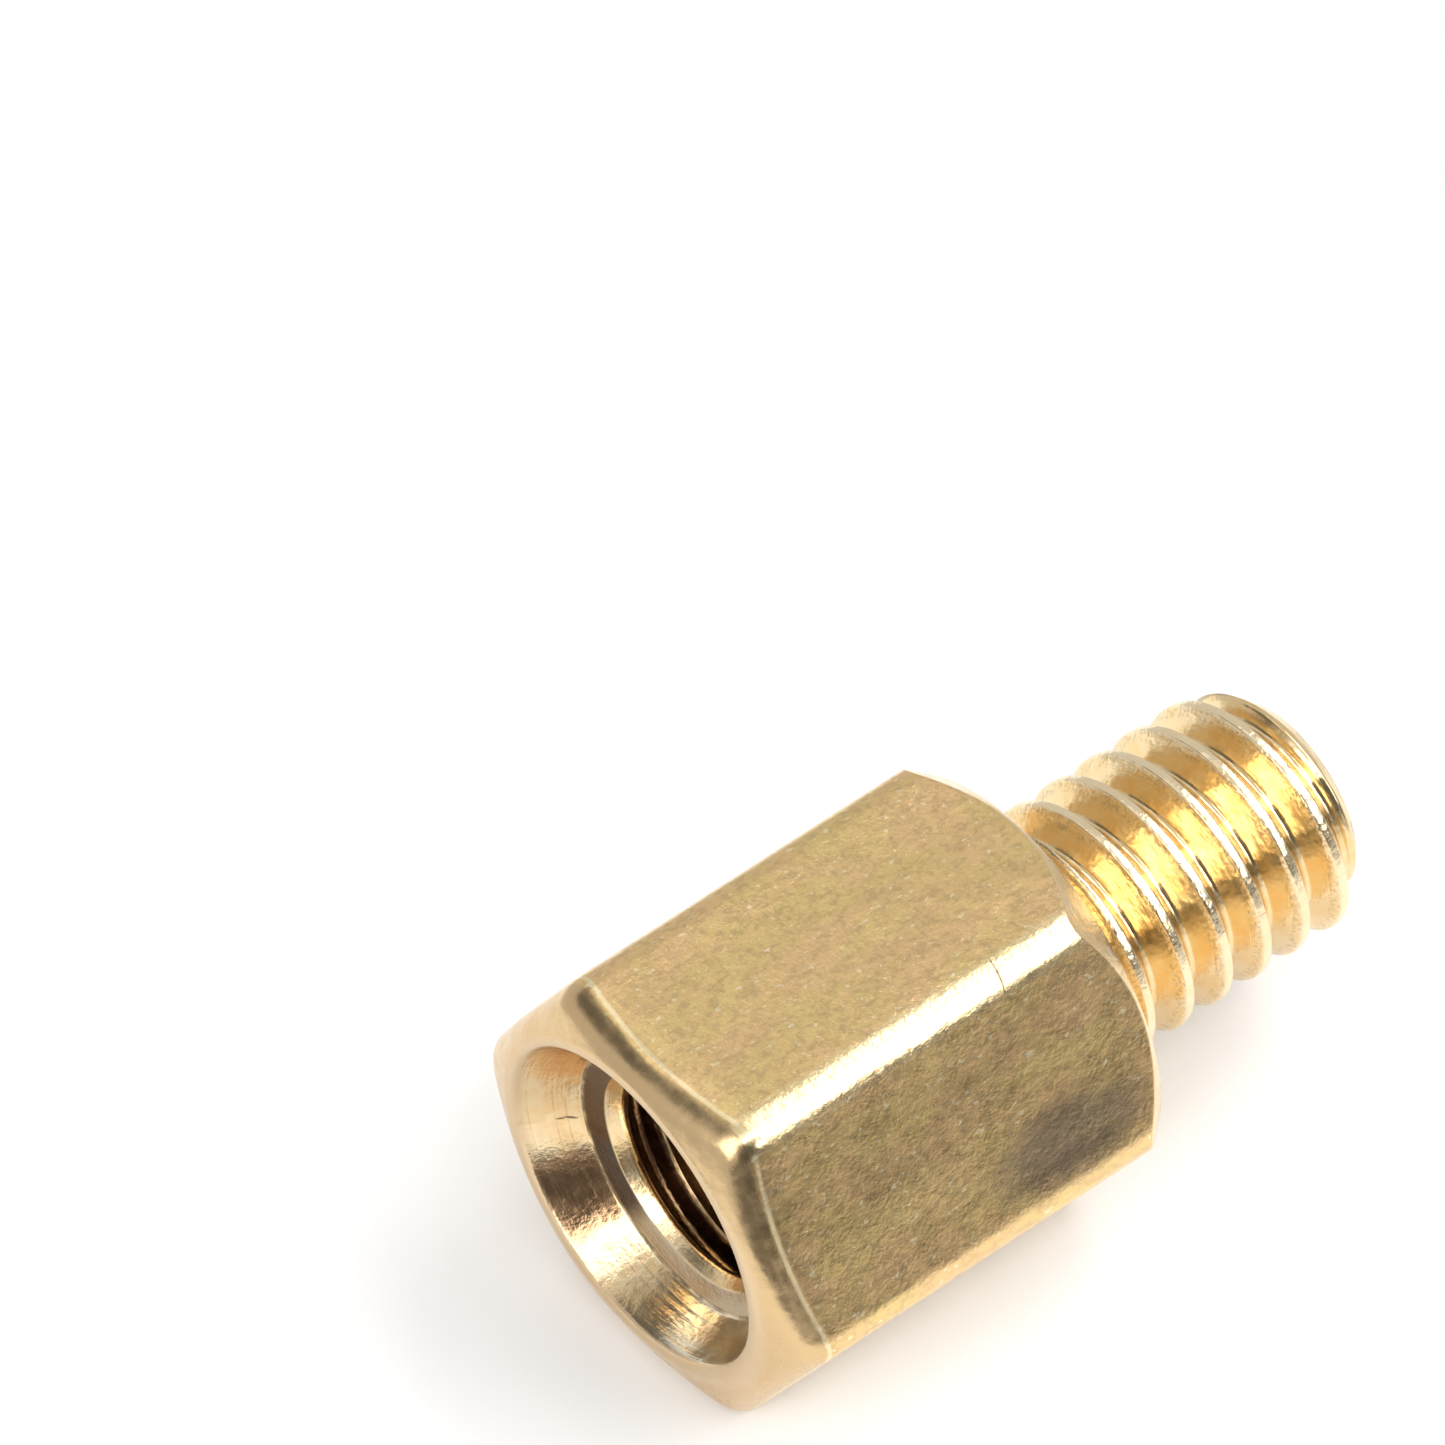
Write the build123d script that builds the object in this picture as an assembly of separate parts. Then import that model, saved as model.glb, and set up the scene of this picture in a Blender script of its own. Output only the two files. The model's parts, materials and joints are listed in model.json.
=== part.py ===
from build123d import *

import math
import os

# A hex standoff with a threaded hole at one end and a threaded stud at the other, in millimetres.
# It lies on one of its six flats. X runs along it, towards the tip of the stud, and Z is up.
# The origin is on the surface that it lies on, under the middle of its length.
# It is made as the real one is: a length of drawn hexagonal bar, turned at both ends and bored.

# Drawn bar
across_flats = 4.0
bar_edge_radius = 0.32

# Body, from the end face of the hole to the shoulder at the foot of the stud.
# Bevel angles are measured from the end faces. The hole's end is tumbled round where it meets the bar.
body_length = 4.4
end_bevel_angle = 20.0
end_edge_rounding = 0.33
rim_width = 0.11
rim_rounding = 0.08
shoulder_bevel_angle = 45.0
shoulder_bevel = 0.14
shoulder_rounding = 0.04

# Hole, which is drilled to the crests of its thread and flares a little where a screw enters it
hole_diameter = 2.1
hole_depth = 3.5
drill_point_angle = 118.0
entry_flare = 0.08
entry_depth = 0.16

# Recess in front of the hole, with a flat floor. Its wall widens towards the mouth,
# which leaves a thin wall of the bar behind each flat.
recess_depth = 0.52
recess_floor_width = 0.23
mouth_wall = 0.35

# Stud, with its cylinder at the crests of its thread and a relief neck against the shoulder.
# The neck's foot is rounded, by a little more than the neck's depth.
stud_length = 3.15
stud_diameter = 2.45
neck_depth = 0.2
neck_length = 0.3
neck_bevel = 0.12
neck_rounding = 0.22
tip_bevel = 0.3
tip_dish_diameter = 1.25
tip_dish_depth = 0.05
tip_pip_diameter = 0.3

# Room round the bar for the outline of the turned piece, which the bar's flats then cut off
turning_room = 0.5

# Sizes that follow from the ones above
overall_length = body_length + stud_length
start_x = -overall_length / 2
axis_height = across_flats / 2
blank_radius = across_flats / math.sqrt(3) + turning_room
end_bevel_slope = math.tan(math.radians(end_bevel_angle))
shoulder_bevel_slope = math.tan(math.radians(shoulder_bevel_angle))
hole_radius = hole_diameter / 2
drill_point_length = hole_radius / math.tan(math.radians(drill_point_angle / 2))
recess_floor_radius = hole_radius + entry_flare + recess_floor_width
mouth_radius = across_flats / 2 - mouth_wall
end_face_radius = mouth_radius + rim_width
shoulder_radius = across_flats / 2 - shoulder_bevel
stud_radius = stud_diameter / 2
neck_radius = stud_radius - neck_depth
tip_radius = stud_radius - tip_bevel
tip_dish_radius = tip_dish_diameter / 2
tip_pip_radius = tip_pip_diameter / 2


def drawn_bar():
    """The hexagonal bar at its full length, lying on a flat, with its six edges rounded."""
    cross_section = Plane(origin=(start_x, 0, axis_height), x_dir=(0, 1, 0), z_dir=(1, 0, 0))
    hexagon = RegularPolygon(across_flats / 2, 6, major_radius=False)
    hexagon = fillet(hexagon.vertices(), bar_edge_radius)
    return extrude(cross_section * hexagon, overall_length)


def hole_outline():
    """The drilled hole and its recess, from the drill point out to the mouth, as (along, out)."""
    return [
        (hole_depth + drill_point_length, 0),
        (hole_depth, hole_radius),
        (recess_depth + entry_depth, hole_radius),
        (recess_depth, hole_radius + entry_flare),
        (recess_depth, recess_floor_radius),
        (0, mouth_radius),
    ]


def body_outline():
    """The end face, the two bevels that cut the bar's corners, and the shoulder."""
    return [
        (0, end_face_radius),
        ((blank_radius - end_face_radius) * end_bevel_slope, blank_radius),
        (body_length - (blank_radius - shoulder_radius) * shoulder_bevel_slope, blank_radius),
        (body_length, shoulder_radius),
    ]


def stud_outline():
    """The neck, the stud and its bevelled tip, with a shallow dish round the cut-off pip."""
    return [
        (body_length, neck_radius),
        (body_length + neck_length, neck_radius),
        (body_length + neck_length + neck_bevel, stud_radius),
        (overall_length - tip_bevel, stud_radius),
        (overall_length, tip_radius),
        (overall_length, tip_dish_radius),
        (overall_length - tip_dish_depth, tip_pip_radius),
        (overall_length, 0),
    ]


def corners_at(outline, along, out):
    """The corners of an outline at one place."""
    return [v for v in outline.vertices() if math.dist((v.X, v.Y), (along, out)) < 0.001]


def turned_blank():
    """Everything that the lathe and the drill leave, as one outline turned about the axis."""
    half_section = Plane(origin=(start_x, 0, axis_height), x_dir=(1, 0, 0), z_dir=(0, -1, 0))
    outline = make_face(Polyline(*hole_outline(), *body_outline(), *stud_outline(), close=True))
    outline = fillet(corners_at(outline, 0, mouth_radius), rim_rounding)
    outline = fillet(corners_at(outline, body_length, shoulder_radius), shoulder_rounding)
    outline = fillet(corners_at(outline, body_length, neck_radius), neck_rounding)
    return revolve(half_section * outline, Axis((0, 0, axis_height), (1, 0, 0)))


def end_edges(part):
    """The edges round the hole's end, where its bevel meets the bar's flats and rounded edges."""
    bevel_end = start_x + (blank_radius - end_face_radius) * end_bevel_slope
    near_end = part.edges().filter_by_position(Axis.X, start_x, bevel_end)
    midway_out = (end_face_radius + across_flats / 2) / 2 + rim_rounding / 2
    return [e for e in near_end if math.hypot(e.center().Y, e.center().Z - axis_height) > midway_out]


def standoff():
    """The part of the turned blank that lies inside the hexagonal bar, with the edges of its end rounded."""
    part = turned_blank() & drawn_bar()
    return fillet(end_edges(part), end_edge_rounding)


os.makedirs("parts", exist_ok=True)
export_step(standoff(), "parts/standoff.step")
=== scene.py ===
"""A brass hex standoff lying on one of its flats: a threaded hole in a flared recess at one end,
a threaded stud at the other. The piece is one closed mesh, turned about its axis by a single path
whose outer stretch follows the hexagonal bar and whose two threads run as true helices.

Lengths are in millimetres until the mesh is made, in the part's own frame: X runs along the
standoff towards the stud's tip, t is the distance from the hole's end face along X, r the distance
from the axis, and theta the angle about the axis, from +Y towards +Z.
"""

import json
import math

import bpy
import numpy as np
from mathutils import Matrix, Vector


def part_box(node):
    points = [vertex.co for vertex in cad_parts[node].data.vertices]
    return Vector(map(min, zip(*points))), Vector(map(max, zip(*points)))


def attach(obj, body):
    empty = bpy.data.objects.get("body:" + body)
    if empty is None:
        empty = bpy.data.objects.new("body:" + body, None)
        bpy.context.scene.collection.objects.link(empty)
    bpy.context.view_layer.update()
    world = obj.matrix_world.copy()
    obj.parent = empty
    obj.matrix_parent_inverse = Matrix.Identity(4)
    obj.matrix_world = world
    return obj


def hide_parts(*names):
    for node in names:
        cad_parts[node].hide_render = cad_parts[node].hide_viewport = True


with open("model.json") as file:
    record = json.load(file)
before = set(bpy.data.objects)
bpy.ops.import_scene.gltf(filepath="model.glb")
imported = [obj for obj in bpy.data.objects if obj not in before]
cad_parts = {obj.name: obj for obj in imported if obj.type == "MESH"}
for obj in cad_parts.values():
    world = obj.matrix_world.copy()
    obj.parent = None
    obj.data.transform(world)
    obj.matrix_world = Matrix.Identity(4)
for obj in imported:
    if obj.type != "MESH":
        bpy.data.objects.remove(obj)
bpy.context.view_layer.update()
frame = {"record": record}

MM = 0.001
MOUNTS = {mount["name"]: mount for mount in frame["record"]["mounts"]}
HOLE_MOUNT = MOUNTS["threaded_hole"]
LOW, HIGH = (np.array(corner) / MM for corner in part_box("standoff"))

# Sizes that the frame gives
ACROSS_FLATS = HIGH[2] - LOW[2]
OVERALL = HIGH[0] - LOW[0]
START_X = LOW[0]
AXIS_HEIGHT = ACROSS_FLATS / 2
BODY_LENGTH = MOUNTS["shoulder"]["pos_m"][0] / MM - START_X
STUD_RADIUS = MOUNTS["stud"]["dims"]["r_mm"]
HOLE_RADIUS = HOLE_MOUNT["dims"]["r_mm"]
HOLE_DEPTH = HOLE_MOUNT["pos_m"][0] / MM - START_X + HOLE_MOUNT["dims"]["length_mm"] / 2

# Drawn bar. The arc of each of its edges is centred EDGE_CENTRE from the axis.
BAR_EDGE_RADIUS = 0.32
APOTHEM = ACROSS_FLATS / 2
SIXTH = math.pi / 3
EDGE_CENTRE = (APOTHEM - BAR_EDGE_RADIUS) / math.cos(SIXTH / 2)
FLAT_HALF_ANGLE = math.atan((APOTHEM - BAR_EDGE_RADIUS) * math.tan(SIXTH / 2) / APOTHEM)

# Turned ends of the body. The rounding of the end's edge takes at most END_EDGE_SHARE of the bevel.
END_BEVEL_ANGLE = math.radians(20)
END_EDGE_ROUNDING = 0.33
END_EDGE_SHARE = 0.95
END_FACE_ROUNDING = 0.1
LIP_ROUNDING = 0.08
SHOULDER_BEVEL_ANGLE = math.radians(50)
SHOULDER_RADIUS = 1.965
SHOULDER_BEVEL_ROUNDING = 0.05
SHOULDER_EDGE_ROUNDING = 0.015

# Recess and hole. The turned end runs a little out of true with the bar, by MOUTH_SHIFT in Y and Z.
MOUTH_RADIUS = 1.63
MOUTH_SHIFT = (0.06, 0.06)
RIM_WIDTH = 0.11
RECESS_DEPTH = 0.52
RECESS_FLOOR_RADIUS = 1.36
RECESS_FLOOR_ROUNDING = 0.05
ENTRY_RADIUS = 1.118
ENTRY_START = 0.58
ENTRY_ROUNDING = 0.05
ENTRY_END = 0.72
ENTRY_CREST_RADIUS = 1.02
DRILL_POINT_ANGLE = math.radians(118)
DRILL_POINT_SHARES = (0.3, 0.6, 0.9, 1.0)
# Tool marks on the recess wall: distance from the end face, and how far each stands out of the cone
RECESS_RINGS = [
    (0.46, 0), (0.41, 0), (0.395, -0.0012), (0.385, 0.0008), (0.37, 0),
    (0.335, 0), (0.322, -0.001), (0.31, 0.0006), (0.3, 0), (0.12, 0),
]

# Stud
NECK_RADIUS = 1.025
NECK_LENGTH = 0.3
NECK_END = BODY_LENGTH + NECK_LENGTH
NECK_ROUNDING = 0.22
NECK_BEVEL_SLOPE = 1.67
TIP_BEVEL = 0.3
TIP_RADIUS = STUD_RADIUS - TIP_BEVEL
TIP_DISH_RADIUS = 0.625
TIP_DISH_DEPTH = 0.05
TIP_DISH_ROUNDING = 0.05
TIP_PIP_RADIUS = 0.15
NEAR_AXIS = 0.001

# Threads, both right-handed. The root's rounding is a share of the flat that it takes up. The
# hole's crests taper in from the entry, and its grooves fade at their start and end.
PITCH = 0.45
FLANK_SLOPE = math.tan(math.radians(30))
CREST_ROUNDING = 0.01
ROOT_ROUNDING_SHARE = 0.75
STUD_ROOT_RADIUS = STUD_RADIUS - 0.27
STUD_CREST_FLAT = 0.08
HOLE_ROOT_RADIUS = 1.25
HOLE_CREST_FLAT = 0.11
HOLE_THREAD_END = HOLE_DEPTH - 0.25
HOLE_THREAD_TAPER = 0.6
HOLE_THREAD_FADES = (0.1, 0.3)

# Burrs on the crests of the stud: waves of a random number of turns, slope and start
BURR_DEPTH = 0.004
BURR_REACH = 0.02
BURR_WAVES = 6
BURR_TURNS = (9, 34)
BURR_SLOPES = (2, 9)
BURR_STARTS = (0, 6)
SEED = 7

# Camera, which the photograph's outlines and edges gave
PHOTO_SIZE = 1445
HOLE_END_PX = (633.2, 1216.4)
ACROSS_FLATS_PX = 456.4
VIEW_AZIMUTH = math.radians(-39.28)
VIEW_ELEVATION = math.radians(50.94)
VIEW_DISTANCE = 0.152
SENSOR_MM = 36.0

# Soft boxes: name, azimuth, elevation, width, height and lean, in degrees as seen from the
# standoff, and radiance
LAMPS = [
    ("right_box", 131, 50, 14, 78, -50, 5.2),
    ("left_box", -108, 36, 30, 56, -22, 2.6),
    ("rear_box", 179, 60, 42, 12, 0, 4.0),
]
LAMP_DISTANCE = 0.2

# Pale tent round the scene, with a dark stretch of horizon. Angles are in degrees.
TENT_RADIUS = 0.3
TENT_SIDES = 48
TENT_ROWS = range(-36, 91, 6)
TENT_TONE = 0.7
HORIZON_TONE = 0.07
HORIZON_AZIMUTH = 165
HORIZON_SPREAD = (42, 62)
HORIZON_TOP = (8, 16)
HORIZON_FOOT = (-2, 3)
# Towards (azimuth, elevation): out to an inner and an outer angle, and the light that it gives
TENT_PATCHES = [
    (39, 52, 8, 18, 0.65),
    (20, 60, 4, 11, 1.25),
    (-32, 44, 12, 30, 0.16),
    (-165, 28, 26, 36, 0.1),
    (-128, -8, 12, 28, 0.16),
    (180, 3, 2, 8, 0.9),
]

FLOOR_RADIUS = 0.012
FLOOR_SIDES = 96
FLOOR_COLOUR = 0.88
FLOOR_ROUGHNESS = 0.8
FLOOR_LIFT = 0.12

# Brass, with its tones as linear colours
DRAWN_GREEN = (0.82, 0.6, 0.26)
DRAWN_RED = (0.84, 0.57, 0.28)
DRAWN_DULL = (0.56, 0.4, 0.2)
# Pale colour of the painted highlights on the bar's edge and the bevel's rim, and of the painted
# glints
PAINTED_HIGHLIGHT_PALE = (0.96, 0.84, 0.55)
DRAWN_STAIN = (0.32, 0.24, 0.165)
TURNED_PALE = (0.88, 0.7, 0.43)
TURNED_WARM = (0.86, 0.62, 0.33)
TURNED_DULL = (0.55, 0.4, 0.26)
# Painted shade on the lip
LIP_PAINTED_SHADE = (0.66, 0.49, 0.31)
# Painted shade on the end bevel, in place of a dark reflection
BEVEL_PAINTED_SHADE = (0.68, 0.48, 0.25)
# Painted shade on the recess floor, darkest at the top and lighter towards the bottom
RECESS_FLOOR_TOP = (0.13, 0.075, 0.035)
RECESS_FLOOR_MID = (0.1, 0.08, 0.06)
RECESS_FLOOR_LOW = (0.52, 0.43, 0.32)
# Painted light low on the front of the recess wall
RECESS_PAINTED_LIGHT = (0.97, 0.9, 0.72)
# Painted shade on the recess wall, low at the back and in its grooves
RECESS_PAINTED_SHADE = (0.66, 0.38, 0.2)
THREAD_PALE = (0.87, 0.68, 0.4)
THREAD_WARM = (0.85, 0.61, 0.3)
# Paler colour on the stud's crests: a painted highlight
THREAD_CREST_HIGHLIGHT = (0.96, 0.83, 0.6)
THREAD_GREY = (0.36, 0.3, 0.22)
HOLE_DARK = (0.2, 0.12, 0.07)
# Dark of the crack and the chips, and painted shade in the recess's inner corner
DARK_MARKS_AND_CORNER_SHADE = (0.09, 0.06, 0.03)

# Zones of the brass: distances from the hole's end face, radii about the axis, or angles about it.
# A ramp that falls along a zone takes it from its far end.
WALL_ZONE = (0.04, 0.5)
WALL_RADII = (1.62, 1.68)
# Where the recess wall takes painted light, low in front, and painted shade, low at the back
LOW_WALL_ZONE = (0.06, 0.5)
LOW_WALL_ANGLES = (-2.75, -1.85)
SHADED_WALL_ANGLES = (-0.95, -0.52)
GROOVES = [(0.298, 0.304), (0.388, 0.396)]
FAINT_GROOVE = (0.1, 0.106)
# Where painted shade darkens the recess's inner corner
RECESS_CORNER_ZONE = (0.515, 0.526)
RECESS_FLOOR_ZONE = (0.53, 0.62)
RECESS_FLOOR_RADII = (1.13, 1.4)
RECESS_FLOOR_MID_ANGLES = (-0.3, -0.5)
RECESS_FLOOR_LOW_ANGLES = (-0.9, -1.2)
RECESS_CORNER_RADII = (1.3, 1.33)
END_BEVEL_ZONE = (0.5, 0.7)
END_BEVEL_RADII = (1.7, 1.85)
LIP_ZONE = (0.02, 0.12)
# Where the painted highlight on the end bevel's rim lies
RIM_LINE_ZONE = (0.275, 0.3)
RIM_LINE_RADII = (1.9, 1.95)
RIM_LINE_LEAN = -0.42
RIM_LINE_WANDER = 0.03
# Painted shade on the flat that faces down and to the front
UNDERSIDE_ANGLES = (-3.0, -2.2)
# Painted highlight: the paler stretch of the bar's edge between the top flat and the front one
EDGE_HIGHLIGHT_ANGLES = (1.95, 2.25)
EDGE_HIGHLIGHT_RADII = (2.205, 2.25)
EDGE_HIGHLIGHT_WANDER = 0.03
KNOCKED_EDGE_RADII = (2.1, 2.2)
CALM_END_ZONE = (0.25, 0.55)
WARM_NECK_ZONE = (BODY_LENGTH + 0.3, BODY_LENGTH + 0.45)
CREST_RADII = (STUD_RADIUS - 0.035, STUD_RADIUS - 0.012)
CREST_SIDE_RADII = (STUD_RADIUS - 0.09, STUD_RADIUS - 0.02)
BURRED_RADII = (STUD_RADIUS - 0.1, STUD_RADIUS - 0.03)
DEEP_HOLE_ZONE = (0.74, 0.95)
HOLE_GROOVE_RADII = (HOLE_RADIUS - 0.01, HOLE_RADIUS + 0.05)

# How strongly zones and marks take their colour, painted light and shade among them, from 0 to 1
LIP_SHADE_STRENGTH = 0.75
END_BEVEL_SHADE_STRENGTH = 0.9
RIM_HIGHLIGHT_STRENGTH = 0.6
SHADED_WALL_STRENGTH = 0.75
FAINT_GROOVE_STRENGTH = 0.6
CHIP_STRENGTH = 0.8
UNDERSIDE_SHADE_STRENGTH = 0.4
EDGE_HIGHLIGHT_STRENGTH = 0.4
STAIN_STRENGTH = 0.85
CRACK_STRENGTH = 0.85
CREST_STRENGTH = 0.5
SPECK_STRENGTH = 0.35

# Roughness, from the smoothest to the roughest places
DRAWN_ROUGHNESS = (0.18, 0.27)
TURNED_ROUGHNESS = (0.16, 0.25)
THREADED_ROUGHNESS = (0.15, 0.25)
END_BEVEL_ADDED_ROUGHNESS = 0.05

# Marks on the brass: start, end and width. The crack lies at (X, length round the bar), the wall's
# chips at (distance from the end face, angle) and the floor's chip at (radius, angle). The stain
# lies at (X, Z), where Y is low.
CRACK = ((-0.55, 4.53), (-0.6, 4.84), 0.028)
CRACK_RADIUS = 2.24
WALL_CHIPS = [((0.3, -0.21), (0.38, -0.215), 0.014), ((0.37, -0.205), (0.47, -0.235), 0.02)]
FLOOR_CHIP = ((1.32, -0.29), (1.14, -0.36), 0.03)
FLOOR_CHIP_START = 0.5
STAIN_MIDDLE = (-0.5, 2.48)
STAIN_HALF_SIZE = (1.05, 0.42)
STAIN_FRONT_Y = (-1.0, -1.3)

# How high the surface's unevenness stands, through bump in the materials
SURFACE_DEPTH = 0.004

# The mesh's steps. A stretch of a path that is longer than LONG_STRETCH starts and ends with
# a step of SHORT_STEP.
FLAT_COLUMNS = 22
FLAT_MARGIN = 0.012
CORNER_COLUMNS = 8
WELD_GAP = 0.004
LONG_STRETCH = 0.1
SHORT_STEP = 0.015

# The outer path's steps from each of its corners to the next, the places of three of the corners
# counted from its end, and how many of their arcs' steps are turned or drawn
OUTER_SPANS = [3, 4, 2, *[1] * (len(RECESS_RINGS) - 1), 3, 1, 2, 60, 2, 14, 2]
END_EDGE, SHOULDER_BEVEL, NECK_FOOT = -5, -4, -2
END_EDGE_TURNED = 6
SHOULDER_BEVEL_DRAWN = 2
TIP_SPANS = [4, 10, 4]

# Kinds of surface, which are also the numbers of the mesh's materials
TURNED, DRAWN, THREADED, BORED = range(4)


def bar_radius(theta):
    """The distance from the axis to the drawn bar's surface, whose edges are rounded."""
    off_flat = np.abs((theta - math.pi / 2 + SIXTH / 2) % SIXTH - SIXTH / 2)
    off_edge = SIXTH / 2 - off_flat
    inside = np.maximum(BAR_EDGE_RADIUS**2 - (EDGE_CENTRE * np.sin(off_edge)) ** 2, 0)
    rounded = EDGE_CENTRE * np.cos(off_edge) + np.sqrt(inside)
    return np.where(off_flat <= FLAT_HALF_ANGLE, APOTHEM / np.cos(off_flat), rounded)


def column_angles():
    """The angles of the mesh's columns: even on the flats, close together round the bar's edges."""
    flat_end = FLAT_HALF_ANGLE - FLAT_MARGIN
    on_flat = np.linspace(-flat_end, flat_end, FLAT_COLUMNS)
    turn = np.linspace(-SIXTH / 2, SIXTH / 2, CORNER_COLUMNS + 1)
    out = EDGE_CENTRE + BAR_EDGE_RADIUS * np.cos(turn)
    on_edge = SIXTH / 2 + np.arctan2(BAR_EDGE_RADIUS * np.sin(turn), out)
    one_side = np.concatenate([on_flat, on_edge])
    return np.concatenate([one_side + math.pi / 2 + side * SIXTH for side in range(6)]) - SIXTH


def rounded_corner(before, corner, after, radius, steps):
    """Points of the arc that rounds a corner of a path."""
    before, corner, after = (np.array(p, float) for p in (before, corner, after))
    back = (before - corner) / np.linalg.norm(before - corner)
    on = (after - corner) / np.linalg.norm(after - corner)
    half = math.acos(max(-1.0, min(1.0, float(back @ on)))) / 2
    reach = radius / math.tan(half)
    middle = (back + on) / np.linalg.norm(back + on)
    centre = corner + middle * radius / math.sin(half)
    first = corner + back * reach - centre
    last = corner + on * reach - centre
    swing = math.pi - 2 * half
    shares = np.linspace(0, 1, steps + 1)
    return [
        centre + (math.sin((1 - s) * swing) * first + math.sin(s * swing) * last) / math.sin(swing)
        for s in shares
    ]


def path_points(corners, spans):
    """A path through corners (t, r, rounding, arc steps), with spans giving each stretch's steps.

    A long stretch has a short first and last step, so that its shading stays flat.
    """
    runs = []
    for i, (t, r, radius, steps) in enumerate(corners):
        if radius and 0 < i < len(corners) - 1:
            neighbours = corners[i - 1][:2], (t, r), corners[i + 1][:2]
            runs.append(rounded_corner(*neighbours, radius, steps))
        else:
            runs.append([np.array((t, r), float)])
    points = list(runs[0])
    for run, steps in zip(runs[1:], spans):
        start, end = points[-1], run[0]
        length = np.linalg.norm(end - start)
        shares = np.linspace(0, 1, steps + 1)
        if steps > 3 and length > LONG_STRETCH:
            edge = SHORT_STEP / length
            even = np.linspace(edge, 1 - edge, steps - 1)[1:-1]
            shares = np.concatenate([[0, edge], even, [1 - edge, 1]])
        points += [start + (end - start) * s for s in shares[1:-1]]
        points += run
    return np.array(points)


def corner_starts(corners, spans):
    """The number of the point at which each corner of a path starts."""
    starts = [0]
    for corner, span in zip(corners, spans):
        starts.append(starts[-1] + corner[3] + span)
    return starts


def thread_profile(crest_radius, root_radius, crest_flat, steps):
    """One pitch of a thread as (x, r) points, from the middle of a crest, with rounded corners."""
    flank = abs(crest_radius - root_radius) * FLANK_SLOPE
    root_flat = PITCH - crest_flat - 2 * flank
    root_rounding = root_flat * ROOT_ROUNDING_SHARE
    corners = [
        (0, crest_radius, 0, 0),
        (crest_flat / 2, crest_radius, CREST_ROUNDING, 2),
        (crest_flat / 2 + flank, root_radius, root_rounding, 4),
        (PITCH - crest_flat / 2 - flank, root_radius, root_rounding, 4),
        (PITCH - crest_flat / 2, crest_radius, CREST_ROUNDING, 2),
        (PITCH, crest_radius, 0, 0),
    ]
    return path_points(corners, [1, steps, 1, steps, 1])[:-1]


def shifted_circle(theta, radius, shift):
    """The distance from the axis to a circle whose centre is off the axis by shift (y, z)."""
    along = shift[0] * np.cos(theta) + shift[1] * np.sin(theta)
    across = shift[0] * np.sin(theta) - shift[1] * np.cos(theta)
    return along + np.sqrt(radius**2 - across**2)


def make_object(name, data):
    """A new object in the scene."""
    made = bpy.data.objects.new(name, data)
    bpy.context.scene.collection.objects.link(made)
    return made


class Mesh:
    """The mesh under construction: places, faces, and each face's kind of surface."""

    def __init__(self, theta):
        self.theta = theta
        self.places = []
        self.faces = []
        self.kinds = []

    def ring(self, t, r):
        """A closed ring of points, one a column. t and r are numbers, or one value a column."""
        count = len(self.theta)
        t, r = np.broadcast_to(t, count), np.broadcast_to(r, count)
        first = len(self.places)
        self.places += list(zip(t, r, self.theta))
        return list(range(first, first + count))

    def point(self, t):
        """A single point on the axis, as a ring that names it once for each column."""
        self.places.append((t, 0.0, 0.0))
        return [len(self.places) - 1] * len(self.theta)

    def face(self, corners, kind):
        """A face, unless its corners fall together and leave none."""
        kept = [c for i, c in enumerate(corners) if c != corners[i - 1]]
        if len(set(kept)) == len(kept) and len(kept) >= 3:
            self.faces.append(kept)
            self.kinds.append(kind)

    def bands(self, rings, kinds):
        """Faces between rings that follow each other along the path, with a kind for each band."""
        count = len(self.theta)
        for one, other, kind in zip(rings, rings[1:], kinds):
            for j in range(count):
                k = (j + 1) % count
                self.face([one[j], one[k], other[k], other[j]], kind)

    def thread(self, low, high, t_low, t_high, profile, radius_at, outward, kind):
        """Helical rows between two rings. profile is one pitch, and radius_at trims its radius."""
        count, rows_a_pitch = len(self.theta), len(profile)
        lead = PITCH * (self.theta - self.theta[0]) / (2 * math.pi)
        pitches = math.ceil((t_high - t_low) / PITCH) + 1
        rows = []
        for turn in range(-1, pitches + 1):
            for x, r in profile:
                t = t_low + turn * PITCH + x + lead
                ids = []
                for j, place in enumerate(t):
                    if place < t_low + WELD_GAP:
                        ids.append(low[j])
                    elif place > t_high - WELD_GAP:
                        ids.append(high[j])
                    else:
                        angle = self.theta[j]
                        self.places.append((place, radius_at(place, r, angle), angle))
                        ids.append(len(self.places) - 1)
                rows.append(ids)
        for i in range(len(rows) - rows_a_pitch - 1):
            for j in range(count):
                last = j + 1 == count
                near = rows[i + rows_a_pitch][0] if last else rows[i][j + 1]
                far = rows[i + 1 + rows_a_pitch][0] if last else rows[i + 1][j + 1]
                corners = [rows[i][j], near, far, rows[i + 1][j]]
                self.face(corners if outward else corners[::-1], kind)

    def finish(self, name):
        """The Blender object, in the part's frame and in metres."""
        t, r, theta = (np.array(column, float) for column in zip(*self.places))
        x = START_X + t
        y = r * np.cos(theta)
        z = AXIS_HEIGHT + r * np.sin(theta)
        mesh = bpy.data.meshes.new(name)
        mesh.from_pydata(list(zip(x * MM, y * MM, z * MM)), [], self.faces)
        mesh.polygons.foreach_set("material_index", self.kinds)
        mesh.polygons.foreach_set("use_smooth", [True] * len(self.faces))
        mesh.validate()
        mesh.update()
        return make_object(name, mesh)


def add_drill_point(mesh):
    """The drill point and the plain end of the bore. Gives the ring at which the thread ends."""
    point = HOLE_DEPTH + HOLE_RADIUS / math.tan(DRILL_POINT_ANGLE / 2)
    rings = [mesh.point(point)]
    for share in DRILL_POINT_SHARES:
        rings.append(mesh.ring(point + (HOLE_DEPTH - point) * share, HOLE_RADIUS * share))
    rings.append(mesh.ring(HOLE_THREAD_END, HOLE_RADIUS))
    mesh.bands(rings, [TURNED] * (len(rings) - 1))
    return rings[-1]


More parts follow.
